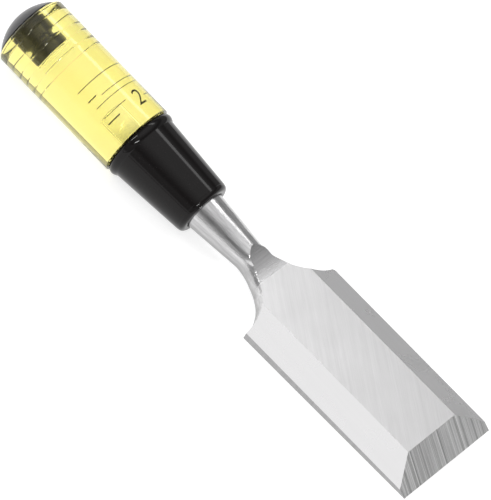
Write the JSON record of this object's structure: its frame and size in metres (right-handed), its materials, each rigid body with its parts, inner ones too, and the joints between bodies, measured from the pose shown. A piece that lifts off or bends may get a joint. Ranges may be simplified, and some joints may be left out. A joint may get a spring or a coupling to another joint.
{
  "type": "bench chisel",
  "caption": "Bevel edged bench chisel: wide flat-backed steel blade forged with its neck, tapered black ferrule, clear yellow plastic handle and domed black strike cap.",
  "frame": {"origin": "middle of the blade's flat back", "axes": "+X from the cutting edge towards the struck end, +Z out of the bevelled face, flat back on Z = 0"},
  "size_m": [0.2319, 0.0508, 0.0327],
  "materials": {
    "ground_steel": "ground and lightly polished, with coarse scratches on the front bevel",
    "yellow_acetate": "clear, polished, tinted lemon yellow",
    "black_sleeve_plastic": "moulded gloss black",
    "black_cap_plastic": "satin gloss black dome"
  },
  "bodies": {
    "root": {"blade": "ground_steel", "handle": "yellow_acetate", "ferrule": "black_sleeve_plastic", "strike_cap": "black_cap_plastic"}
  },
  "joints": []
}
